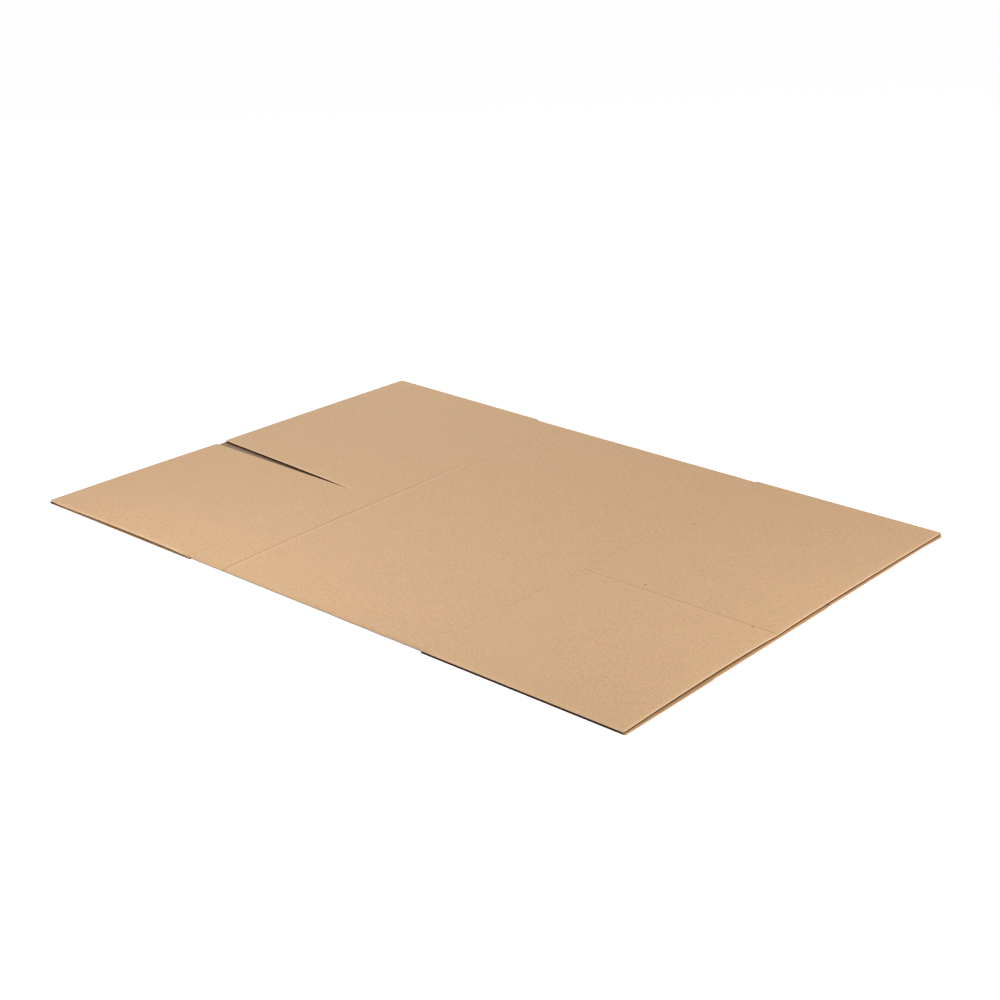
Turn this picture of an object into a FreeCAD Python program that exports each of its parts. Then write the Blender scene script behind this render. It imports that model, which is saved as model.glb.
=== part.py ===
import FreeCAD, Part
import Sketcher
import math
import os

# Flattened cardboard carton lying on a floor. All lengths are in millimetres.
# X runs along the two folds (the carton's height), Y runs across the panels, Z is up.
# The sheet is one blank of corrugated board, folded twice and glued into a flat tube.
# Its four upper flaps lift at their scores, so each of them is a piece of its own.

SIZES = {
    "panel_height": 600.0,       # between the two flap scores, along X
    "flap_depth": 430.0,         # from the score to the free end
    "narrow_panel": 450.0,
    "wide_panel": 600.0,
    "board": 3.0,                # thickness of the corrugated board
    "layer_gap": 0.3,            # air between the upper and the lower layer
    "fold_setback": 3.0,         # how far the rounded folds lie behind the flap edges
    "lower_drift": 19.0,         # sideways shift of the lower layer's corner line
    "right_setback": 2.0,        # the upper right flaps end this far behind the lower ones
    "slit_half": 0.4,            # half of the knife slit between two flaps
    "score_half": 2.0,           # half of the width of a pressed score
    "score_depth": 0.6,
    "joint_half": 1.5,           # half of the open seam over the glue lap
    "joint_depth": 1.8,
    "left_slit_open": 28.0,      # taper of the far left flap: how far its free end stands off the slit
    "left_near_bow": 0.8,        # arch of each upper flap's free end over its two corners
    "left_far_bow": 0.6,
    "right_near_bow": 4.4,
    "right_far_bow": 3.0,
    "left_slit_lift": 0.8,       # height of a free end's corners over the flat sheet
    "left_outer_lift": 1.6,
    "right_slit_lift": 1.0,
    "right_outer_lift": 1.8,
}
BOW_STEPS = 8                    # straight strips that make up one arch
MIDDLE_PEAK = 0.5                # where an arch is highest, as a share of the flap's width from the slit
RIGHT_NEAR_PEAK = 0.4
RIGHT_FAR_PEAK = 0.28

doc = FreeCAD.newDocument("flattened_carton")

sheet = doc.addObject("Spreadsheet::Sheet", "sizes")
for row, (name, value) in enumerate(SIZES.items(), start=1):
    sheet.set("A%d" % row, name)
    sheet.set("B%d" % row, repr(value))
    sheet.setAlias("B%d" % row, name)
doc.recompute()


def lin(**terms):
    """A length made of named sizes: its expression and its present value."""
    text = " + ".join("%s * sizes.%s" % (repr(float(k)), n) for n, k in terms.items())
    number = sum(k * SIZES[n] for n, k in terms.items())
    return text, number


def plus(*lengths):
    return " + ".join("(%s)" % t for t, n in lengths), sum(n for t, n in lengths)


def minus(length):
    return "-(%s)" % length[0], -length[1]


def times(length, factor):
    return "(%s) * %s" % (length[0], repr(float(factor))), length[1] * factor


# The main levels and lines
HALF_HEIGHT = lin(panel_height=0.5)
FREE_END = lin(panel_height=0.5, flap_depth=1)
HALF_WIDTH = lin(narrow_panel=0.5, wide_panel=0.5)
FOLD_RADIUS = lin(board=1, layer_gap=0.5)
FOLD_CENTRE = lin(narrow_panel=0.5, wide_panel=0.5, fold_setback=-1, board=-1, layer_gap=-0.5)
CORNER_LINE = lin(wide_panel=0.5, narrow_panel=-0.5)
LOWER_LINE = lin(wide_panel=0.5, narrow_panel=-0.5, lower_drift=1)
UPPER_LEVEL = lin(board=1, layer_gap=1)
TOP = lin(board=2, layer_gap=1)
BOARD = lin(board=1)
ZERO = lin(board=0)

# Turns a sketch so that its own X lies along Y and its own Y along Z
ACROSS = FreeCAD.Rotation(FreeCAD.Vector(1, 1, 1), 120)
# Turns a sketch so that its own X lies along X and its own Y along Z
LENGTHWISE = FreeCAD.Rotation(FreeCAD.Vector(1, 0, 0), 90)


def section(name, rotation, base, points):
    """A closed outline. Every corner is held by two lengths from the sketch's origin."""
    sketch = doc.addObject("Sketcher::SketchObject", name)
    sketch.Placement = FreeCAD.Placement(FreeCAD.Vector(0, 0, 0), rotation)
    corners = [FreeCAD.Vector(p[0][1], p[1][1], 0) for p in points]
    count = len(corners)
    for i in range(count):
        sketch.addGeometry(Part.LineSegment(corners[i], corners[(i + 1) % count]), False)
    for i in range(count):
        sketch.addConstraint(Sketcher.Constraint("Coincident", i, 2, (i + 1) % count, 1))
    for i in range(count):
        for kind, length in (("DistanceX", points[i][0]), ("DistanceY", points[i][1])):
            number = sketch.addConstraint(
                Sketcher.Constraint(kind, -1, 1, i, 1, length[1]))
            sketch.setExpression("Constraints[%d]" % number, length[0])
    for axis, length in zip("xyz", base):
        sketch.setExpression("Placement.Base.%s" % axis, length[0])
    return sketch


def block(name, x, y, z):
    """A box between two lengths on each axis."""
    box = doc.addObject("Part::Box", name)
    for axis, side, (low, high) in zip("xyz", ("Length", "Width", "Height"), (x, y, z)):
        box.setExpression("Placement.Base.%s" % axis, low[0])
        box.setExpression(side, plus(high, minus(low))[0])
    return box


def fuse(name, shapes):
    joined = doc.addObject("Part::MultiFuse", name)
    joined.Shapes = shapes
    joined.Refine = True
    return joined


def cut(name, base, tool):
    result = doc.addObject("Part::Cut", name)
    result.Base = base
    result.Tool = tool
    return result


def score_tool(name, x, z, depth):
    """A shallow pressed groove along Y at a score; a negative depth opens downwards."""
    half = lin(score_half=1)
    wide = times(HALF_WIDTH, 1.1)
    profile = section(name + "_profile", LENGTHWISE, (ZERO, wide, ZERO), [
        (plus(x, minus(half)), plus(z, depth)),
        (plus(x, minus(half)), z),
        (x, plus(z, minus(depth))),
        (plus(x, half), z),
        (plus(x, half), plus(z, depth)),
    ])
    tool = doc.addObject("Part::Extrusion", name)
    tool.Base = profile
    tool.DirMode = "Custom"
    tool.Dir = FreeCAD.Vector(0, -1, 0)
    tool.Solid = True
    tool.setExpression("LengthFwd", times(wide, 2)[0])
    return tool


# Pressed scores: over the upper layer and under the lower one, at both ends
DEPTH = lin(score_depth=1)
left_top_score = score_tool("left_top_score", minus(HALF_HEIGHT), TOP, DEPTH)
right_top_score = score_tool("right_top_score", HALF_HEIGHT, TOP, DEPTH)
left_low_score = score_tool("left_low_score", minus(HALF_HEIGHT), ZERO, minus(DEPTH))
right_low_score = score_tool("right_low_score", HALF_HEIGHT, ZERO, minus(DEPTH))

# Tube of four panels: two layers joined by two rounded folds
layers = block("layers", (minus(HALF_HEIGHT), HALF_HEIGHT),
               (minus(FOLD_CENTRE), FOLD_CENTRE), (ZERO, TOP))
folds = []
for side, y in (("near", minus(FOLD_CENTRE)), ("far", FOLD_CENTRE)):
    fold = doc.addObject("Part::Cylinder", side + "_fold")
    fold.Placement = FreeCAD.Placement(FreeCAD.Vector(0, 0, 0),
                                       FreeCAD.Rotation(FreeCAD.Vector(0, 1, 0), 90))
    fold.setExpression("Placement.Base.x", minus(HALF_HEIGHT)[0])
    fold.setExpression("Placement.Base.y", y[0])
    fold.setExpression("Placement.Base.z", FOLD_RADIUS[0])
    fold.setExpression("Radius", FOLD_RADIUS[0])
    fold.setExpression("Height", times(HALF_HEIGHT, 2)[0])
    folds.append(fold)
tube_block = fuse("tube_block", [layers] + folds)
inside = block("inside", (times(HALF_HEIGHT, -1.1), times(HALF_HEIGHT, 1.1)),
               (minus(FOLD_CENTRE), FOLD_CENTRE), (BOARD, UPPER_LEVEL))
tube = cut("tube", tube_block, inside)

# Lower flaps, one pair at each end, parted at the lower layer's corner line
SLIT = lin(slit_half=1)
lower_flaps = []
for end, low, high in (("left", minus(FREE_END), minus(HALF_HEIGHT)),
                       ("right", HALF_HEIGHT, FREE_END)):
    lower_flaps.append(block(end + "_lower_wide_flap", (low, high),
                             (minus(HALF_WIDTH), plus(LOWER_LINE, minus(SLIT))), (ZERO, BOARD)))
    lower_flaps.append(block(end + "_lower_narrow_flap", (low, high),
                             (plus(LOWER_LINE, SLIT), HALF_WIDTH), (ZERO, BOARD)))
blank = fuse("blank", [tube] + lower_flaps)

# Open seam under the glue lap
JOINT = lin(joint_half=1)
seam = block("seam", (minus(HALF_HEIGHT), HALF_HEIGHT),
             (plus(LOWER_LINE, minus(JOINT)), plus(LOWER_LINE, JOINT)),
             (minus(BOARD), lin(joint_depth=1)))
pressed = fuse("pressed_lines", [left_top_score, right_top_score,
                                 left_low_score, right_low_score, seam])
carton_sheet = cut("carton_sheet", blank, pressed)


def upper_flap(name, end, inner, outer, inner_open, inner_lift, outer_lift, bow, peak, score):
    """One upper flap: flat at its score and lifted or arched at its free end."""
    sections = []
    skew = math.log(0.5) / math.log(peak)
    for where in ("score", "free"):
        free = where == "free"
        if end == "left":
            x = minus(FREE_END) if free else minus(HALF_HEIGHT)
        else:
            x = plus(FREE_END, lin(right_setback=-1)) if free else HALF_HEIGHT
        start = plus(inner, inner_open) if free else inner
        under = []
        for step in range(BOW_STEPS + 1):
            part = step / BOW_STEPS
            y = plus(times(start, 1 - part), times(outer, part))
            if free:
                along = part ** skew
                arch = times(bow, 4 * along * (1 - along))
                z = plus(UPPER_LEVEL, times(inner_lift, 1 - part), times(outer_lift, part), arch)
            else:
                z = UPPER_LEVEL
            under.append((y, z))
        over = [(y, plus(z, BOARD)) for y, z in reversed(under)]
        sections.append(section("%s_%s_section" % (name, where), ACROSS,
                                (x, ZERO, ZERO), under + over))
    loft = doc.addObject("Part::Loft", name + "_board")
    loft.Sections = sections
    loft.Solid = True
    loft.Ruled = True
    return cut(name, loft, score)


near_inner = plus(minus(CORNER_LINE), minus(SLIT))
far_inner = plus(minus(CORNER_LINE), SLIT)
near_left = upper_flap("left_near_flap", "left", near_inner, minus(HALF_WIDTH), ZERO, ZERO, ZERO,
                       lin(left_near_bow=1), MIDDLE_PEAK, left_top_score)
far_left = upper_flap("left_far_flap", "left", far_inner, HALF_WIDTH, lin(left_slit_open=1),
                      lin(left_slit_lift=1), lin(left_outer_lift=1),
                      lin(left_far_bow=1), MIDDLE_PEAK, left_top_score)
near_right = upper_flap("right_near_flap", "right", near_inner, minus(HALF_WIDTH), ZERO,
                        lin(right_slit_lift=1), ZERO,
                        lin(right_near_bow=1), RIGHT_NEAR_PEAK, right_top_score)
far_right = upper_flap("right_far_flap", "right", far_inner, HALF_WIDTH, ZERO,
                       lin(right_slit_lift=1), lin(right_outer_lift=1),
                       lin(right_far_bow=1), RIGHT_FAR_PEAK, right_top_score)

PIECES = {
    "carton_sheet": carton_sheet,
    "left_near_flap": near_left,
    "left_far_flap": far_left,
    "right_near_flap": near_right,
    "right_far_flap": far_right,
}
for label, piece in PIECES.items():
    piece.Label = label

doc.recompute()

for item in doc.Objects:
    if "Invalid" in item.State or "Error" in item.State:
        raise RuntimeError("%s did not recompute: %s" % (item.Name, item.State))
for label, piece in PIECES.items():
    if piece.Shape.isNull() or not piece.Shape.isValid():
        raise RuntimeError("%s has no valid shape" % label)
    if len(piece.Shape.Solids) != 1:
        raise RuntimeError("%s is not one solid" % label)

os.makedirs("parts", exist_ok=True)
for label, piece in PIECES.items():
    piece.Shape.exportStep("parts/%s.step" % label)
    box = piece.Shape.BoundBox
    print(label, "x %.1f..%.1f y %.1f..%.1f z %.2f..%.2f" % (
        box.XMin, box.XMax, box.YMin, box.YMax, box.ZMin, box.ZMax),
        "volume %.0f" % piece.Shape.Volume)
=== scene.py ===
import math

import bmesh
import bpy
from mathutils import Matrix, Vector, noise

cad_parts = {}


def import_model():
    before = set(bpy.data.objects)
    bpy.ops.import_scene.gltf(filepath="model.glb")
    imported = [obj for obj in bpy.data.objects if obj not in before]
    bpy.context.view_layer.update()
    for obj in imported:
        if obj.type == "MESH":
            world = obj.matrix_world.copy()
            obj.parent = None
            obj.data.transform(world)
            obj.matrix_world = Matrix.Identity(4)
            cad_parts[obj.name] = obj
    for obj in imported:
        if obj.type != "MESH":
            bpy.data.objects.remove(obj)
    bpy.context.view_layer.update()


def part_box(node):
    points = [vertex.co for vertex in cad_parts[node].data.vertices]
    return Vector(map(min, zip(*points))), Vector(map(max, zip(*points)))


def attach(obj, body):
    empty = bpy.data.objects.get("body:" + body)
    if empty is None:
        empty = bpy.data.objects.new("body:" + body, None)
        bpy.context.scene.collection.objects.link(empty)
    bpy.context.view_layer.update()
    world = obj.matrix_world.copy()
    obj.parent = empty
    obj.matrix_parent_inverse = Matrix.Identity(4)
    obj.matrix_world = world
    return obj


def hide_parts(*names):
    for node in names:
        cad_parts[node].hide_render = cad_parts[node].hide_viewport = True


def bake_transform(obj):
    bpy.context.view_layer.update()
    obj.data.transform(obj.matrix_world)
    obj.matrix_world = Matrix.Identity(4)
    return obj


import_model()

MM = 0.001

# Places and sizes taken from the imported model
sheet_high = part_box("carton_sheet")[1]
left_low, left_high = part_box("left_near_flap")
right_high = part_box("right_near_flap")[1]
far_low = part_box("right_far_flap")[0]
TOP = sheet_high[2]
UPPER = left_low[2]
BOARD = TOP - UPPER
SCORE = -left_high[0]
LOWER_END = sheet_high[0]
LEFT_END = -left_low[0]
RIGHT_END = right_high[0]
HALF_WIDTH = sheet_high[1]
NEAR_SLIT = left_high[1]
FAR_SLIT = far_low[1]
LOWER_LINE = 94.0 * MM           # the corner line of the lower layer
SLIT_HALF = 0.5 * (FAR_SLIT - NEAR_SLIT)
CORNER_LINE = 0.5 * (FAR_SLIT + NEAR_SLIT)
KNIFE_HALF = 0.06 * MM           # half of what the knife took away along a slit
SLIT_NEAR_SIDE = CORNER_LINE - KNIFE_HALF
SLIT_FAR_SIDE = CORNER_LINE + KNIFE_HALF

# How the upper flaps lie: lifts of the two free corners and an arch over them
SLIT_TAPER = 25.5 * MM           # the far left flap is cut back at its free end
TAPER_START = 24.0 * MM          # and lies close to its neighbour up to here from the score
LEFT_NEAR_BOW, LEFT_FAR_BOW = 0.8 * MM, 0.6 * MM
RIGHT_NEAR_BOW, RIGHT_FAR_BOW = 4.4 * MM, 3.0 * MM
LEFT_SLIT_LIFT, LEFT_OUTER_LIFT = 0.8 * MM, 1.6 * MM
RIGHT_SLIT_LIFT, RIGHT_OUTER_LIFT = 1.0 * MM, 1.8 * MM
MIDDLE_PEAK, RIGHT_NEAR_PEAK, RIGHT_FAR_PEAK = 0.5, 0.4, 0.28
LEFT_EDGE_BULGE = 2.5 * MM       # the near left flap's long edge stands off the layer below
LEFT_SLIT_BULGE = 1.8 * MM       # and so does the far left flap's edge along the slit

# The board and its folds
LINER = 0.35 * MM
MEDIUM = 0.25 * MM
FLUTE_PITCH = 6.4 * MM
SCORE_HALF = 2.0 * MM
FOLD_SETBACK = 3.0 * MM
RIM = 2.6 * MM                   # how far the pale rim of a cut, from wear and a painted highlight, reaches in
EDGE_DARK = 2.4                  # painted shade: how much darker than a pressed line the liners' cut edges are painted
LOWER_PRESS = (0.3 * MM, 0.3 * MM)    # how far the knife pressed the upper liner down, side and end
UNDER_PRESS = 0.15 * MM          # and the lower liner up
LOWER_CRUSH = 1.7 * MM           # the lower right ends are crushed to a slope
LOWER_SLIT_OPEN = 2.4 * MM
SLOT_SHADE_DARK = 1.25                # how dark the painted shade on the lining is where the left slit lays it open
NICK_LINE, NICK_CUT, SLIT_CUT = -282 * MM, 1.4 * MM, 1.2 * MM
SEAM_HALF = 1.5 * MM
SEAM_DEPTH = 1.8 * MM
UNDER_GROOVE = 0.5 * MM          # how deep the lower scores are pressed from below
EDGE_REACH = 3.0 * MM            # how far in from a cut edge its wear and pressing reach
CORNER_BLUNT = 1.6 * MM          # how far the free corners are worn back
END_RAGGED = 0.18 * MM           # how much a free end wavers
SIDE_RAGGED = 0.15 * MM          # how much a side wavers
CRUSH_REACH = 8 * MM
GRID = 10 * MM                   # the mesh's step on a liner
FLUTE_ROW = 28 * MM              # its step along a flute
FLUTE_STEPS = 10                 # and the steps over one flute

# The upper scores, at the left and the right end
SCORE_DEPTH = {-1: 0.12 * MM, 1: 0.35 * MM}
SCORE_SHADE = {-1: 0.06, 1: 0.10}


def smooth(t):
    t = min(max(t, 0.0), 1.0)
    return t * t * (3 - 2 * t)


def bump(distance, width):
    """A rounded hill of height 1 that is gone at the given distance."""
    return smooth(1 - abs(distance) / width)


def waver(x, y, scale, seed=0.0):
    """Smooth noise between about -1 and 1 over the sheet."""
    return noise.noise(Vector((x / scale, y / scale, seed)))


def spaced(start, end, step, dense=()):
    """Values from start to end about a step apart, and more at the given distances from both ends."""
    count = max(2, round(abs(end - start) / step))
    sign = 1 if end > start else -1
    values = [start + (end - start) * i / count for i in range(count + 1)]
    for distance in dense:
        values += [start + sign * distance, end - sign * distance]
    return sorted(set(values), reverse=end < start)


# The false crease across the upper panels, worn in by handling
CREASE_NEAR, CREASE_MIDDLE, CREASE_FAR = -204 * MM, -226 * MM, -211 * MM
CREASE_DEPTH = 0.8 * MM
CREASE_HALF = 2.2 * MM
RIDGE_OFF, RIDGE_HALF, RIDGE_LIFT = 6.5 * MM, 7 * MM, 0.30 * MM    # the swelling on both its sides
SECOND_OFF = 13 * MM             # a weaker second line beside its far half


def crease_line(y):
    """Where the false fold runs: a shallow bow between its two ends, with a small jog."""
    t = y / HALF_WIDTH
    ends = CREASE_NEAR * (1 - t) / 2 + CREASE_FAR * (1 + t) / 2
    bow = (CREASE_MIDDLE - (CREASE_NEAR + CREASE_FAR) / 2) * (1 - t * t)
    far_bend = -9 * MM * smooth(t / 0.3) * (1 - smooth((t - 0.55) / 0.35))
    return ends + bow + far_bend + 1.0 * MM * waver(0, y, 0.06, 3.0)


def crease_strength(y):
    t = y / HALF_WIDTH
    return 1.0 - 0.62 * smooth((t + 0.15) / 0.6) + 0.15 * waver(0, y, 0.05, 5.0)


def mesh_object(name, verts, faces, tones, materials):
    """A mesh with two named values on each corner point: one for pale cut edges and painted light, one for
    pressed lines and painted shade.
    """
    mesh = bpy.data.meshes.new(name)
    mesh.from_pydata(verts, [], faces)
    for index, key in enumerate(("rim", "crease_and_shade")):
        layer = mesh.attributes.new(key, "FLOAT", "POINT")
        layer.data.foreach_set("value", [tone[index] for tone in tones])
    for material in materials:
        mesh.materials.append(material)
    mesh.polygons.foreach_set("use_smooth", [True] * len(faces))
    mesh.validate()
    mesh.set_sharp_from_angle(angle=math.radians(32))
    obj = bpy.data.objects.new(name, mesh)
    bpy.context.scene.collection.objects.link(obj)
    return obj


def slab(rows, columns, surface):
    """A closed thin sheet. surface(row, column) gives an outer point, an inner one and one or two tones."""
    verts, tones, faces = [], [], []
    for u in rows:
        for v in columns:
            outer, inner, *tone = surface(u, v)
            verts += [outer, inner]
            tones += tone if len(tone) == 2 else tone * 2
    wide, high = len(columns), len(rows)

    def at(i, j, side):
        return 2 * (i * wide + j) + side

    for i in range(high - 1):
        for j in range(wide - 1):
            faces.append((at(i, j, 0), at(i + 1, j, 0), at(i + 1, j + 1, 0), at(i, j + 1, 0)))
            faces.append((at(i, j, 1), at(i, j + 1, 1), at(i + 1, j + 1, 1), at(i + 1, j, 1)))
    for i in range(high - 1):
        faces.append((at(i, 0, 0), at(i, 0, 1), at(i + 1, 0, 1), at(i + 1, 0, 0)))
        end = wide - 1
        faces.append((at(i, end, 0), at(i + 1, end, 0), at(i + 1, end, 1), at(i, end, 1)))
    for j in range(wide - 1):
        faces.append((at(0, j, 0), at(0, j + 1, 0), at(0, j + 1, 1), at(0, j, 1)))
        end = high - 1
        faces.append((at(end, j, 0), at(end, j, 1), at(end, j + 1, 1), at(end, j + 1, 0)))
    return verts, faces, tones


def joined(name, parts, materials):
    """One object from several closed sheets; part n takes material n."""
    verts, faces, tones, slots = [], [], [], []
    for index, (v, f, t) in enumerate(parts):
        base = len(verts)
        verts += v
        tones += t
        faces += [tuple(base + k for k in face) for face in f]
        slots += [index] * len(f)
    obj = mesh_object(name, verts, faces, tones, materials)
    if len(obj.data.polygons) != len(slots):
        raise RuntimeError("%s lost faces" % name)
    obj.data.polygons.foreach_set("material_index", slots)
    return obj


def facing_out(obj):
    """Turns every closed sheet of the mesh so that its faces look outwards."""
    work = bmesh.new()
    work.from_mesh(obj.data)
    bmesh.ops.recalc_face_normals(work, faces=work.faces)
    work.to_mesh(obj.data)
    work.free()
    return obj


# Materials
def node(tree, kind, **values):
    made = tree.nodes.new(kind)
    for key, value in values.items():
        setattr(made, key, value)
    return made


def math_node(tree, operation, first, second=None, clamp=False):
    made = node(tree, "ShaderNodeMath", operation=operation, use_clamp=clamp)
    for socket, value in zip(made.inputs, (first, second)):
        if value is None:
            continue
        if isinstance(value, (int, float)):
            socket.default_value = value
        else:
            tree.links.new(value, socket)
    return made.outputs[0]


def blend_colour(tree, factor, first, second):
    made = node(tree, "ShaderNodeMix", data_type="RGBA")
    for socket, value in ((made.inputs[0], factor), (made.inputs[6], first), (made.inputs[7], second)):
        if isinstance(value, (int, float)):
            socket.default_value = value
        elif isinstance(value, tuple):
            socket.default_value = value + (1.0,)
        else:
            tree.links.new(value, socket)
    return made.outputs[2]


def noise_node(tree, place, stretch, scale, detail=3.0, rough=0.6):
    """Noise over the sheet, stretched along the given axes."""
    mapping = node(tree, "ShaderNodeMapping")
    mapping.inputs["Scale"].default_value = stretch
    tree.links.new(place, mapping.inputs["Vector"])
    texture = node(tree, "ShaderNodeTexNoise")
    texture.inputs["Scale"].default_value = scale
    texture.inputs["Detail"].default_value = detail
    texture.inputs["Roughness"].default_value = rough
    tree.links.new(mapping.outputs[0], texture.inputs["Vector"])
    return texture.outputs["Fac"]


# The larger dark flecks: their places over the upper panels and their sizes
FLECKS = ((677 * MM, -80 * MM, 3.2 * MM), (431 * MM, -59 * MM, 2.6 * MM),
          (335 * MM, 241 * MM, 2.4 * MM), (559 * MM, -334 * MM, 2.4 * MM))


def kraft(name, colour, worn_and_lit, deep, contrast, ribs, pressed):
    """Kraft paper: clouds, fibres, fine grain, rare dark flecks, ribs, pressed lines with painted shade,
    and pale edges of wear with painted light.

    The pale and the deep colour are those on a rim of wear and painted light and in pressed lines and
    painted shade.
    contrast is its strength of grain, ribs how far the flutes show through, and pressed how dark a line is
    for its tone.
    """
    material = bpy.data.materials.new(name)
    material.use_nodes = True
    tree = material.node_tree
    shader = tree.nodes["Principled BSDF"]
    place = node(tree, "ShaderNodeTexCoord").outputs["Object"]

    cloud = noise_node(tree, place, (1, 1, 1), 16.0, rough=0.55)
    blotch = noise_node(tree, place, (1, 0.8, 1), 280.0)
    fibre = noise_node(tree, place, (1, 0.2, 1), 900.0)
    grain = noise_node(tree, place, (1, 1, 1), 430.0, detail=2.0)

    dark = tuple(c * (1 - contrast) for c in colour)
    pale = tuple(min(1.0, c * (1 + contrast * 0.8)) for c in colour)
    mixed = math_node(tree, "MULTIPLY", cloud, 0.05)
    for source, share in ((blotch, 0.36), (fibre, 0.14), (grain, 0.45)):
        mixed = math_node(tree, "ADD", mixed, math_node(tree, "MULTIPLY", source, share))
    spread = math_node(tree, "MULTIPLY", math_node(tree, "SUBTRACT", mixed, 0.5), 4.8)
    tone = math_node(tree, "ADD", spread, 0.5, clamp=True)
    base = blend_colour(tree, tone, dark, pale)

    # The flutes show through the liner as faint ribs
    split = node(tree, "ShaderNodeSeparateXYZ")
    tree.links.new(place, split.inputs[0])
    turns = math_node(tree, "MULTIPLY", split.outputs["Y"], 2 * math.pi / FLUTE_PITCH)
    rib = math_node(tree, "SINE", turns)
    rib_tone = math_node(tree, "MULTIPLY", rib, ribs * 0.02)
    base = blend_colour(tree, math_node(tree, "ADD", rib_tone, 0.02 * ribs), base, dark)

    # Rare dark flecks of bark, and a few larger ones at known places
    cells = node(tree, "ShaderNodeTexVoronoi", feature="F1")
    cells.inputs["Scale"].default_value = 34.0
    tree.links.new(place, cells.inputs["Vector"])
    chosen = math_node(tree, "GREATER_THAN", cells.outputs["Color"], 0.80)
    spot = math_node(tree, "LESS_THAN", cells.outputs["Distance"], 0.026)
    fleck = math_node(tree, "MULTIPLY", math_node(tree, "MULTIPLY", spot, chosen), 0.5)
    for x, y, size in FLECKS:
        gap = node(tree, "ShaderNodeVectorMath", operation="DISTANCE")
        tree.links.new(place, gap.inputs[0])
        gap.inputs[1].default_value = (x, y, TOP)
        near = math_node(tree, "LESS_THAN", gap.outputs["Value"], size)
        fleck = math_node(tree, "MAXIMUM", fleck, math_node(tree, "MULTIPLY", near, 0.8))
    base = blend_colour(tree, fleck, base, tuple(c * 0.42 for c in colour))

    # Pressed lines and painted shade darken the paper, and rims of wear and painted light make it paler
    crease_and_shade = node(tree, "ShaderNodeAttribute", attribute_name="crease_and_shade").outputs["Fac"]
    base = blend_colour(tree, math_node(tree, "MULTIPLY", crease_and_shade, pressed, clamp=True), base, deep)
    rim = node(tree, "ShaderNodeAttribute", attribute_name="rim").outputs["Fac"]
    base = blend_colour(tree, math_node(tree, "MULTIPLY", rim, 0.9, clamp=True), base, worn_and_lit)
    tree.links.new(base, shader.inputs["Base Color"])

    rough = math_node(tree, "ADD", math_node(tree, "MULTIPLY", tone, 0.12), 0.66)
    tree.links.new(rough, shader.inputs["Roughness"])
    shader.inputs["Specular IOR Level"].default_value = 0.1

    height = math_node(tree, "ADD", math_node(tree, "MULTIPLY", fibre, 0.6),
                       math_node(tree, "MULTIPLY", grain, 0.5))
    height = math_node(tree, "ADD", height, math_node(tree, "MULTIPLY", rib, 0.35 * ribs))
    relief = node(tree, "ShaderNodeBump")
    relief.inputs["Strength"].default_value = 0.35
    relief.inputs["Distance"].default_value = 0.12 * MM
    tree.links.new(height, relief.inputs["Height"])
    tree.links.new(relief.outputs[0], shader.inputs["Normal"])
    return material


# Paper colours: the pale ones serve rims of wear and painted light, the deep ones pressed lines and painted
# shade
KRAFT = (0.638, 0.409, 0.2290)
WORN_AND_LIT_KRAFT = (0.930, 0.640, 0.390)
LINING = (0.330, 0.214, 0.126)
HANDLED_AND_LIT = (0.840, 0.500, 0.255)
FLUTE = (0.420, 0.240, 0.120)
CRUSHED_AND_LIT_FLUTE = (0.760, 0.420, 0.200)
DEEP_KRAFT = (0.085, 0.036, 0.012)
DEEP_LINING = (0.034, 0.014, 0.005)
DEEP_FLUTE = (0.042, 0.014, 0.003)
outer_paper = kraft("kraft_outer", KRAFT, WORN_AND_LIT_KRAFT, DEEP_KRAFT, 0.15, 1.0, 0.48)
inner_paper = kraft("kraft_inner", LINING, HANDLED_AND_LIT, DEEP_LINING, 0.14, 2.5, 0.36)
flute_paper = kraft("kraft_flutes", FLUTE, CRUSHED_AND_LIT_FLUTE, DEEP_FLUTE, 0.14, 0.0, 1.0)


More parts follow.
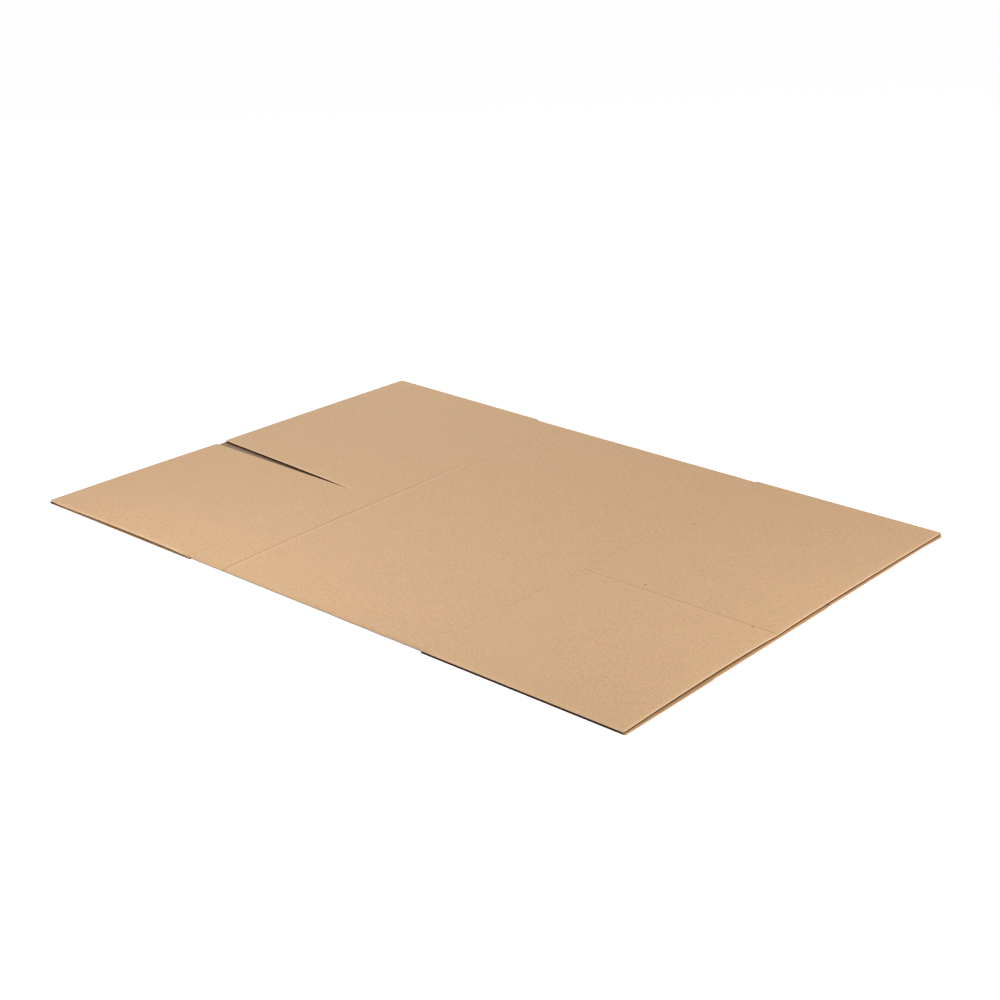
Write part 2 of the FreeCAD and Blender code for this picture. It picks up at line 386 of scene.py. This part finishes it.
# One flat board: two liners with a fluted medium between them
class Board:
    """A rectangle of board from a score to a free end, with its height given by a function.

    rims: how pale the near side, the far side and the end are, from wear and from a painted highlight where
    a cut edge catches light. flutes: the fluting along the near side, at its corner and at the end, from
    dark open channels (1, painted shade) to crushed shut (-0.5) and pale (-1, crushed board painted paler
    as painted light). press: how far the knife pressed the upper liner down at a side and at the end.
    rim: how far the pale rim reaches in. open_y: how far the near side turns away at the free end. trim:
    how far the end is cut back at a place. crush: how far the upper liner slopes down at the end.
    slot_shade: how dark a painted shade on its upper liner is at a place. browned: how dark the upper
    liner's far side and end are painted, as painted shade.
    """

    def __init__(self, start, end, low_y, high_y, height, rims, flutes, press, rim=RIM,
                 open_y=0.0, trim=None, crush=0.0, slot_shade=None, browned=(0.0, 0.0)):
        self.start, self.end = start, end
        self.low_y, self.high_y = low_y, high_y
        self.height = height
        self.open_y = open_y
        self.rims, self.rim = rims, rim
        self.flutes = flutes
        self.press = press
        self.trim = trim
        self.crush = crush
        self.slot_shade = slot_shade
        self.browned = browned

    def place(self, x, y):
        """The point under a flat place on the board, with its side edge and free end blunted and ragged a
        little.
        """
        share = (y - self.low_y) / (self.high_y - self.low_y)
        side = min(y - self.low_y, self.high_y - y)
        back = abs(self.end - x)
        sign = 1 if self.end > self.start else -1
        near_end = smooth(1 - back / (6 * MM))
        blunt = CORNER_BLUNT * smooth(1 - side / EDGE_REACH) * near_end ** 2
        ragged = END_RAGGED * waver(0, y, 0.004, self.end) * smooth(1 - back / EDGE_REACH)
        cut = self.trim(y) * near_end if self.trim else 0.0
        closed = TAPER_START if self.open_y else 0.0
        turned = max(0.0, (abs(x - self.start) - closed) / (abs(self.end - self.start) - closed))
        moved = y + self.open_y * turned * (1 - share)
        moved += SIDE_RAGGED * waver(x, 0, 0.005, share) * smooth(1 - side / EDGE_REACH)
        return x - sign * (blunt + ragged + cut), moved, side, back

    def pressed(self, x, y):
        """How far the knife pressed the upper liner down and the lower one up here."""
        near, far, end = self.rims
        side = max(near * smooth(1 - (y - self.low_y) / EDGE_REACH),
                   far * smooth(1 - (self.high_y - y) / EDGE_REACH))
        back = max(end, 0.3) * smooth(1 - abs(self.end - x) / EDGE_REACH)
        crushed = self.crush * smooth(1 - abs(self.end - x) / CRUSH_REACH)
        down = max(self.press[0] * side, self.press[1] * back)
        return down + crushed, UNDER_PRESS * max(side, back)

    def tone(self, x, y):
        """How pale the rim is, from wear and from a painted highlight where the cut edge catches light."""
        near, far, end = self.rims
        opened = smooth(abs(x - self.start) / TAPER_START)
        return max(near * opened * math.exp(-(y - self.low_y) / self.rim),
                   far * opened * math.exp(-(self.high_y - y) / self.rim),
                   end * math.exp(-abs(self.end - x) / self.rim))

    def side_tone(self, back):
        """The fluting's tone along the near side, this far from the free end."""
        near, corner = self.flutes[:2]
        return near + (corner - near) * smooth(1.6 - back / (22 * MM))

    def liner(self, low, high):
        """One of the two liners, between two levels of the board."""
        top = low > BOARD / 2
        edge = (0.5 * MM, 1.2 * MM, 2.0 * MM, 3.0 * MM, 5.0 * MM, 8.0 * MM)
        rows = spaced(self.start, self.end, GRID, edge)
        columns = spaced(self.low_y, self.high_y, GRID, edge)
        if top and self.slot_shade:
            # Closer columns where the painted slot shade lies, kept off the others and off the board's
            # sides
            wanted = [SLIT_FAR_SIDE + 2 * k * MM for k in range(-9, 20)]
            inside = [y for y in wanted if self.low_y + 9 * MM < y < self.high_y - 9 * MM]
            free = [y for y in inside if min(abs(y - other) for other in columns) > 0.5 * MM]
            columns = sorted(columns + free)

        def surface(x, y):
            px, py, _, back = self.place(x, y)
            down, up = self.pressed(x, y)
            base = self.height(px, y) + (-down if top else up)
            near = y - self.low_y
            # Painted shade darkens the liners at cut edges over open flute channels, along the upper
            # liner's far side and end, and where the slit lays the lining open; the pale rim is wear with a
            # painted highlight.
            side_dark = max(0.0, self.side_tone(back))
            end_dark = max(0.0, self.flutes[2])
            hidden = max(side_dark * smooth(1.5 - near / (3 * MM)),
                         end_dark * smooth(1.5 - back / (6 * MM)))
            shown = max(side_dark * smooth(1 - near / (0.5 * MM)),
                        end_dark * smooth(1 - back / (0.5 * MM)))
            if top and self.rims[0] > 0.0:
                shown = max(self.browned[0] * smooth(1 - (self.high_y - y) / EDGE_REACH),
                            self.browned[1] * smooth(1 - back / EDGE_REACH))
            worn_and_lit = self.tone(x, y)
            slot_shade = self.slot_shade(x, y) if top and self.slot_shade else 0.0
            open_tone = (worn_and_lit * (1 - shown), max(EDGE_DARK * shown, slot_shade))
            flute_tone = (worn_and_lit * (1 - hidden), EDGE_DARK * hidden)
            first, second = (open_tone, flute_tone) if top else (flute_tone, open_tone)
            return (px, py, base + high), (px, py, base + low), first, second
        return slab(rows, columns, surface)

    def medium(self):
        """The waved sheet between the liners, crushed thick and flat where a cut shut it."""
        swing = (BOARD - 2 * LINER - MEDIUM) / 2
        rows = spaced(self.start, self.end, FLUTE_ROW, (0.8 * MM, 3 * MM, 6 * MM))
        turns = (self.high_y - self.low_y) / FLUTE_PITCH
        count = int(turns * FLUTE_STEPS)
        columns = [self.low_y + (self.high_y - self.low_y) * i / count for i in range(count + 1)]
        end_tone = self.flutes[2]

        def surface(x, y):
            px, py, _, back = self.place(x, y)
            wave = -math.cos(2 * math.pi * (y - self.low_y) / FLUTE_PITCH)
            ends = smooth(1.5 - back / (8 * MM))
            side_tone = self.side_tone(back)
            edge = smooth(1.2 - (y - self.low_y) / (1.6 * MM))
            shut = min(1.0, 2 * max(0.0, -side_tone * edge, -end_tone * ends))
            down, up = self.pressed(x, y)
            half = max(0.0, swing - (down + up) / 2)
            drop = (down - up) / 2
            middle = self.height(px, y) + BOARD / 2 - drop + half * wave * (1 - shut)
            thick = MEDIUM / 2 + 0.85 * half * shut
            inset = (0.25 + max(0.0, end_tone)) * MM * smooth(1 - back / EDGE_REACH)
            px -= math.copysign(inset, self.end - self.start)
            # Painted shade darkens the open channels at cut edges; crushed shut ends are painted pale,
            # partly as painted light.
            band = smooth(1 - (y - self.low_y) / (9 * MM))
            dark = max(0.0, side_tone * band, end_tone * ends)
            pale = max(0.0, 2 * (-side_tone * band - 0.5), 2 * (-end_tone * ends - 0.5))
            return (px, py, middle + thick), (px, py, middle - thick), (pale, dark)
        return slab(rows, columns, surface)

    def build(self, name, top_paper, under_paper):
        parts = [self.liner(BOARD - LINER, BOARD), self.liner(0.0, LINER), self.medium()]
        return facing_out(joined(name, parts, [top_paper, under_paper, flute_paper]))


def lying(end, slit, outer, slit_lift, outer_lift, bow, peak, bulge=0.0, slit_bulge=0.0):
    """The height of a flap's underside: flat at the score, lifted and arched at the free end."""
    skew = math.log(0.5) / math.log(peak)

    def height(x, y):
        along = min(max((abs(x) - SCORE) / (end - SCORE), 0.0), 1.0)
        part = min(max((y - slit) / (outer - slit), 0.0), 1.0)
        over = part ** skew
        free = slit_lift * (1 - part) + outer_lift * part + bow * 4 * over * (1 - over)
        edge = bulge * smooth((part - 0.55) / 0.45) + slit_bulge * smooth(1 - part / 0.3)
        return UPPER + along * free + math.sin(math.pi * along ** 0.65) * edge
    return height


# rims give each flap a pale rim of wear and painted highlight, flutes paint shade into its open channels,
# and its far side and end are darkened by painted shade.
FLAPS = {
    "left_near": dict(
        end=-LEFT_END, low_y=-HALF_WIDTH, high_y=SLIT_NEAR_SIDE,
        height=lying(LEFT_END, NEAR_SLIT, -HALF_WIDTH, 0.0, 0.0, LEFT_NEAR_BOW, MIDDLE_PEAK,
                     bulge=LEFT_EDGE_BULGE),
        rims=(1.0, 0.1, 0.1), flutes=(-0.5, 1.0, 0.3), browned=(0.0, 0.4), press=(1.4 * MM, 0.5 * MM)),
    "left_far": dict(
        end=-LEFT_END, low_y=SLIT_FAR_SIDE, high_y=HALF_WIDTH, open_y=SLIT_TAPER,
        height=lying(LEFT_END, FAR_SLIT, HALF_WIDTH, LEFT_SLIT_LIFT, LEFT_OUTER_LIFT,
                     LEFT_FAR_BOW, MIDDLE_PEAK, slit_bulge=LEFT_SLIT_BULGE),
        rims=(1.0, 0.0, 0.1), flutes=(1.0, 1.0, 0.3), browned=(0.4, 0.4), press=(0.6 * MM, 0.5 * MM)),
    "right_near": dict(
        end=RIGHT_END, low_y=-HALF_WIDTH, high_y=SLIT_NEAR_SIDE,
        height=lying(RIGHT_END, NEAR_SLIT, -HALF_WIDTH, RIGHT_SLIT_LIFT, 0.0,
                     RIGHT_NEAR_BOW, RIGHT_NEAR_PEAK),
        rims=(1.0, 0.25, 1.0), flutes=(1.0, 1.0, 1.0), press=(1.9 * MM, 0.5 * MM)),
    "right_far": dict(
        end=RIGHT_END, low_y=SLIT_FAR_SIDE, high_y=HALF_WIDTH,
        height=lying(RIGHT_END, FAR_SLIT, HALF_WIDTH, RIGHT_SLIT_LIFT, RIGHT_OUTER_LIFT,
                     RIGHT_FAR_BOW, RIGHT_FAR_PEAK),
        rims=(0.1, 0.0, 1.0), flutes=(0.5, 0.9, 1.0), browned=(0.4, 0.0), press=(0.4 * MM, 0.5 * MM)),
}


def upper_flap(body, end, low_y, high_y, rims, press, **shape):
    """One flap of the upper layer and the score that it hangs on."""
    sign = 1 if end > 0 else -1
    score = sign * SCORE
    board = Board(score + sign * SCORE_HALF, end, low_y, high_y, rims=rims,
                  press=press, **shape)
    piece = board.build(body + "_board", outer_paper, inner_paper)
    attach(piece, body)
    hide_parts(body + "_flap")

    # The score is a band of crushed board where the flap meets the panel
    rows = [score + sign * SCORE_HALF * k / 6 for k in range(-6, 7)]
    columns = spaced(low_y, high_y, GRID, (0.5 * MM, 1.5 * MM))

    def surface(x, y):
        dip = SCORE_DEPTH[sign] * bump(x - score, SCORE_HALF)
        side = min(y - low_y, high_y - y)
        dip += 0.2 * MM * smooth(1 - side / (2 * MM))
        out = smooth((sign * (x - score) + SCORE_HALF) / (2 * SCORE_HALF))
        dip += out * rims[0] * press[0] * smooth(1 - (y - low_y) / EDGE_REACH)
        # The band's pale near end continues the near rim's wear and painted highlight.
        pale = 0.3 * rims[0] * math.exp(-(y - low_y) / RIM) * (1 - out) if y < 0 else 0.0
        shade = SCORE_SHADE[sign] * bump(x - score, SCORE_HALF)
        return (x, y, TOP - dip), (x, y, UPPER), (pale, shade)
    band = facing_out(joined(body + "_score", [slab(rows, columns, surface)], [outer_paper]))
    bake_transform(band)


def tube():
    """The outer liner of the four panels: one band round both folds, open at the seam underneath."""
    radius = TOP / 2
    centre = HALF_WIDTH - FOLD_SETBACK - radius
    straight = spaced(0, 1, 0.01)
    arc = [k / 14 for k in range(1, 14)]
    seam_far, seam_near = LOWER_LINE + SEAM_HALF, LOWER_LINE - SEAM_HALF
    stops = [("under", seam_far + (centre - seam_far) * t) for t in spaced(0, 1, 0.022)]
    stops += [("far", t) for t in arc]
    stops += [("over", centre - 2 * centre * t) for t in straight]
    stops += [("near", t) for t in arc]
    stops += [("under", -centre + (seam_near + centre) * t) for t in spaced(0, 1, 0.016)]

    reach = SCORE - SCORE_HALF
    middle = (CREASE_NEAR + CREASE_FAR + 2 * CREASE_MIDDLE) / 4
    rows = set(spaced(-reach, reach, 9 * MM))
    rows |= {middle + k * 0.7 * MM for k in range(-20, 36)}
    rows = sorted(rows)

    def shifted(x, y):
        """Slides the close rows on to the false crease."""
        room = smooth((reach - abs(x)) / (60 * MM))
        return x + (crease_line(y) - middle) * bump(x - middle, 90 * MM) * room

    def relief(x, y):
        """Height over the flat panel, how dark the pressed line is painted as painted shade and how pale
        the ridge beside it is painted as a painted highlight.
        """
        off = x - crease_line(y)
        strength = crease_strength(y)
        valley = bump(off, CREASE_HALF)
        ridge = bump(off + RIDGE_OFF, RIDGE_HALF) + 0.8 * bump(off - RIDGE_OFF, RIDGE_HALF)
        second = smooth((y / HALF_WIDTH - 0.25) / 0.2) * bump(off - SECOND_OFF, CREASE_HALF)
        lift = RIDGE_LIFT * ridge * strength
        dip = CREASE_DEPTH * (valley * strength + 0.35 * second)
        pale = 0.16 * bump(off - 7 * MM, 6 * MM) * strength
        return lift - dip, 0.5 * valley * strength + 0.25 * second, pale

    def surface(row, stop):
        kind, value = stop
        if kind == "under":
            groove = UNDER_GROOVE * bump(abs(row) - SCORE, SCORE_HALF)
            rim = math.exp(-min(abs(value - seam_far), abs(value - seam_near)) / (0.8 * MM))
            return (row, value, groove), (row, value, groove + LINER), (rim, 0.0)
        if kind == "over":
            x = shifted(row, value)
            lift, dark, pale = relief(x, value)
            corner = 0.10 * MM * bump(value - CORNER_LINE, 2.5 * MM)
            z = TOP + lift - corner
            return (x, value, z), (x, value, z - LINER), (pale, dark)
        side = 1 if kind == "far" else -1
        angle = math.pi * value - math.pi / 2 if side > 0 else math.pi / 2 - math.pi * value
        x = shifted(row, side * centre)
        lift, dark, pale = relief(x, side * centre)
        level = math.cos(angle)
        wear = 0.9 * MM * waver(x, 0, 0.045, side) + 0.3 * MM * waver(x, 0, 0.012, side + 9)
        size = radius + level * (wear + 1.2 * lift) + (1 - level) * max(0.0, math.sin(angle)) * lift
        point = (x, side * (centre + size * level), radius + size * math.sin(angle))
        inner = size - LINER
        back = (x, side * (centre + inner * level), radius + inner * math.sin(angle))
        # Painted shade darkens the underside of both folds and the far fold's side; the near fold's side is
        # painted paler as painted light.
        shade = 2.0 * smooth((-math.sin(angle) - 0.05) / 0.45)
        if side > 0:
            return point, back, (pale * (1 - level), max(dark, shade, 0.7 * smooth(level / 0.9)))
        return point, back, (max(pale, 0.3 * level * (1 - min(shade, 1.0))), max(dark, shade))

    piece = facing_out(joined("panels_liner", [slab(rows, stops, surface)], [outer_paper]))
    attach(piece, "carton")
    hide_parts("carton_sheet")


def glue_lap():
    """The lap behind the open seam, with the two cut edges of the panels beside it."""
    reach = SCORE - SCORE_HALF
    rows = spaced(-reach, reach, 40 * MM, (2 * MM,))
    low_y, high_y = LOWER_LINE - 14 * MM, LOWER_LINE + 38 * MM

    def face(x, y):
        return (x, y, BOARD - LINER), (x, y, SEAM_DEPTH), (0.0, 0.15)
    parts = [slab(rows, spaced(low_y, high_y, 6 * MM), face)]
    for side in (-1, 1):
        start = LOWER_LINE + side * (SEAM_HALF + 0.3 * MM)

        def wall(x, z):
            return (x, start + side * MEDIUM, z), (x, start, z), (0.0, 0.2)
        parts.append(slab(rows, [LINER * 0.5, BOARD / 3, SEAM_DEPTH + 0.1 * MM], wall))
    piece = facing_out(joined("glue_lap", parts, [inner_paper, flute_paper, flute_paper]))
    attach(piece, "carton")


def lower_flaps():
    """The four flaps of the lower layer; their scores are pressed from below."""
    def height(x, y):
        return UNDER_GROOVE * bump(abs(x) - SCORE, SCORE_HALF)

    def cut_back(y):
        """The right ends are cut a little short past a nick, and shorter again past the slit."""
        nick = NICK_CUT * smooth((y - NICK_LINE) / EDGE_REACH)
        cut = nick + SLIT_CUT * smooth((y - LOWER_LINE) / MM)
        return cut * smooth((HALF_WIDTH - y) / (90 * MM))

    def slot_shade(x, y):
        """Painted shade on the left lining where the slit above lays it open, darkest by the far flap's
        edge.
        """
        turned = (abs(x) - SCORE - TAPER_START) / (LEFT_END - SCORE - TAPER_START)
        open_to = SLIT_TAPER * max(0.0, turned)
        off = y - SLIT_FAR_SIDE - open_to
        fade = math.exp(off / (9 * MM)) if off < 0 else smooth(1 - off / (8 * MM))
        return SLOT_SHADE_DARK * fade * smooth((abs(x) - SCORE) / TAPER_START)

    sides = ((-HALF_WIDTH, LOWER_LINE - SLIT_HALF, "wide", 0.0),
             (LOWER_LINE + SLIT_HALF, HALF_WIDTH, "narrow", LOWER_SLIT_OPEN))
    for end, name in ((-1, "left"), (1, "right")):
        for low_y, high_y, word, open_y in sides:
            # The right ends' lining and crushed flutes are painted pale as painted light in the gap under
            # the upper flaps, partly as crushed board, and their open channels dark as painted shade; the
            # left linings get the painted slot shade and dark channels at the corner.
            if end > 0:
                wear = dict(rims=(0.0, 0.0, 1.0), rim=6 * MM, flutes=(1.0, 1.0, -0.7),
                            open_y=open_y, trim=cut_back, crush=LOWER_CRUSH)
            else:
                wear = dict(rims=(0.0, 0.0, 0.2), rim=3 * MM, flutes=(-0.5, 0.95, -0.5), slot_shade=slot_shade)
            board = Board(end * (SCORE - SCORE_HALF), end * LOWER_END, low_y, high_y, height,
                          press=LOWER_PRESS, **wear)
            piece = board.build("%s_lower_%s_flap" % (name, word), inner_paper, outer_paper)
            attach(piece, "carton")


tube()
glue_lap()
lower_flaps()
for body, values in FLAPS.items():
    upper_flap(body, **values)


# Floor, light and camera
def seen_directly(tree):
    """One where a camera, glossy or transmission ray looks at the surface, else zero."""
    path = node(tree, "ShaderNodeLightPath")
    seen = math_node(tree, "ADD", path.outputs["Is Camera Ray"], path.outputs["Is Glossy Ray"])
    seen = math_node(tree, "ADD", seen, path.outputs["Is Transmission Ray"], clamp=True)
    return seen


FLOOR_GREY = 0.86
FLOOR_GLOW = 0.56                # lifts the floor to white where it is looked at
SKY_LIGHT, SKY_GLOW = 0.45, 0.55


def floor():
    bpy.ops.mesh.primitive_plane_add(size=120, location=(0, 0, 0))
    plane = bpy.context.object
    plane.name = "floor"
    material = bpy.data.materials.new("floor_white")
    material.use_nodes = True
    tree = material.node_tree
    shader = tree.nodes["Principled BSDF"]
    shader.inputs["Base Color"].default_value = (FLOOR_GREY, FLOOR_GREY, FLOOR_GREY, 1)
    shader.inputs["Roughness"].default_value = 0.9
    shader.inputs["Emission Color"].default_value = (1, 1, 1, 1)
    seen = seen_directly(tree)
    tree.links.new(math_node(tree, "MULTIPLY", seen, FLOOR_GLOW), shader.inputs["Emission Strength"])
    plane.data.materials.append(material)


def world():
    sky = bpy.data.worlds.new("studio")
    bpy.context.scene.world = sky
    sky.use_nodes = True
    tree = sky.node_tree
    background = tree.nodes["Background"]
    background.inputs["Color"].default_value = (1, 1, 1, 1)
    seen = seen_directly(tree)
    strength = math_node(tree, "ADD", math_node(tree, "MULTIPLY", seen, SKY_GLOW), SKY_LIGHT)
    tree.links.new(strength, background.inputs["Strength"])


def lamp(name, place, target, size, power):
    data = bpy.data.lights.new(name, "AREA")
    data.shape = "DISK"
    data.size = size
    data.energy = power
    lamp_object = bpy.data.objects.new(name, data)
    lamp_object.location = place
    aim = Vector(target) - Vector(place)
    lamp_object.rotation_euler = aim.to_track_quat("-Z", "Y").to_euler()
    lamp_object.visible_camera = False
    bpy.context.scene.collection.objects.link(lamp_object)


# The lamps: name, place, what it points at, width and power
LAMPS = (("key", (-0.3, -1.1, 0.9), (-0.15, -0.4, 0), 0.8, 6.4),
         ("side", (1.6, 0, 0.8), (0.4, 0.1, 0), 0.6, 6.9),
         ("low", (4.2, 3.6, 1.6), (0.4, 0.1, 0), 1.4, 55),
         ("back", (-2.6, 2.2, 2.0), (-0.3, 0.2, 0), 1.2, 53))
CAMERA_LENS = 64.10
CAMERA_PLACE = (2.1429, -2.5137, 1.3702)
CAMERA_AZIMUTH, CAMERA_TILT, CAMERA_ROLL = 40.048, 21.894, 0.512


def camera():
    data = bpy.data.cameras.new("camera")
    data.lens = CAMERA_LENS
    data.sensor_width = 36.0
    data.clip_end = 50
    seen_from = bpy.data.objects.new("camera", data)
    turn = (Matrix.Rotation(math.radians(CAMERA_AZIMUTH), 4, "Z")
            @ Matrix.Rotation(math.radians(90 - CAMERA_TILT), 4, "X")
            @ Matrix.Rotation(math.radians(CAMERA_ROLL), 4, "Z"))
    seen_from.matrix_world = Matrix.Translation(CAMERA_PLACE) @ turn
    bpy.context.scene.collection.objects.link(seen_from)
    bpy.context.scene.camera = seen_from


floor()
world()
for values in LAMPS:
    lamp(*values)
camera()
bpy.context.scene.view_settings.view_transform = "Standard"
